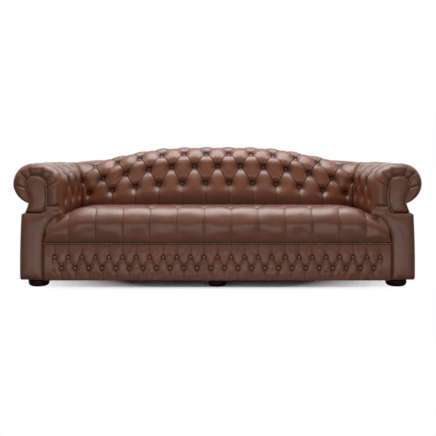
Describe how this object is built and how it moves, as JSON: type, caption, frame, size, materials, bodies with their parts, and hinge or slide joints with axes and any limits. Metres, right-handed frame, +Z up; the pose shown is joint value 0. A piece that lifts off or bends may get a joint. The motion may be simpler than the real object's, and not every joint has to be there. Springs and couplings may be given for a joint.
{
  "type": "camelback sofa",
  "caption": "Long camelback sofa with deep-buttoned leather back and rolled arms, sprung buttoned seat, nailed scroll facings and bun feet.",
  "frame": {"origin": "on the floor, under the middle of the sofa's bounding box", "axes": "+X along the sofa towards the arm named right, +Y from the front to the back, +Z up"},
  "size_m": [2.5, 0.95, 0.858],
  "materials": {
    "leather": "semi-gloss antiqued full grain leather",
    "foam": "cut upholstery foam",
    "beech": "planed, unfinished",
    "plywood": "sawn, unfinished",
    "spring_steel": "oiled wire",
    "jute": "woven jute",
    "mahogany": "dark gloss lacquer",
    "nail_trim": "antiqued bronze",
    "lining": "black non-woven"
  },
  "bodies": {
    "root": {"inside_back_cover": "leather", "back_foam": "foam", "inside_arm_cover_right": "leather", "inside_arm_cover_left": "leather", "arm_foam_right": "foam", "arm_foam_left": "foam", "seat_cover": "leather", "seat_foam": "foam", "front_border": "leather", "arm_front_panel_right": "leather", "arm_front_panel_left": "leather", "scroll_facing_right": "leather", "scroll_facing_left": "leather", "facing_trim_right": "nail_trim", "facing_trim_left": "nail_trim", "front_trim": "nail_trim", "outside_arm_right": "leather", "outside_arm_left": "leather", "outside_back": "leather", "rear_border": "leather", "front_rail": "beech", "back_rail": "beech", "side_rail_right": "beech", "side_rail_left": "beech", "front_post_right": "beech", "front_post_left": "beech", "rear_post_right": "beech", "rear_post_left": "beech", "arm_roll_rail_right": "beech", "arm_roll_rail_left": "beech", "scroll_board_right": "plywood", "scroll_board_left": "plywood", "back_roll_rail": "beech", "back_rib_left": "plywood", "back_rib_centre": "plywood", "back_rib_right": "plywood", "seat_rear_rail": "beech", "back_tack_rail": "beech", "arm_tack_rail_right": "beech", "arm_tack_rail_left": "beech", "seat_bearer_left": "beech", "seat_bearer_right": "beech", "corner_block_right": "beech", "corner_block_left": "beech", "seat_spring_1": "spring_steel", "seat_spring_2": "spring_steel", "seat_spring_3": "spring_steel", "seat_spring_4": "spring_steel", "seat_spring_5": "spring_steel", "seat_platform": "jute", "back_webbing_1": "jute", "back_webbing_2": "jute", "foot_front_left": "mahogany", "foot_rear_left": "mahogany", "foot_front_centre": "mahogany", "foot_rear_centre": "mahogany", "foot_front_right": "mahogany", "foot_rear_right": "mahogany", "dust_cover": "lining"}
  },
  "joints": []
}
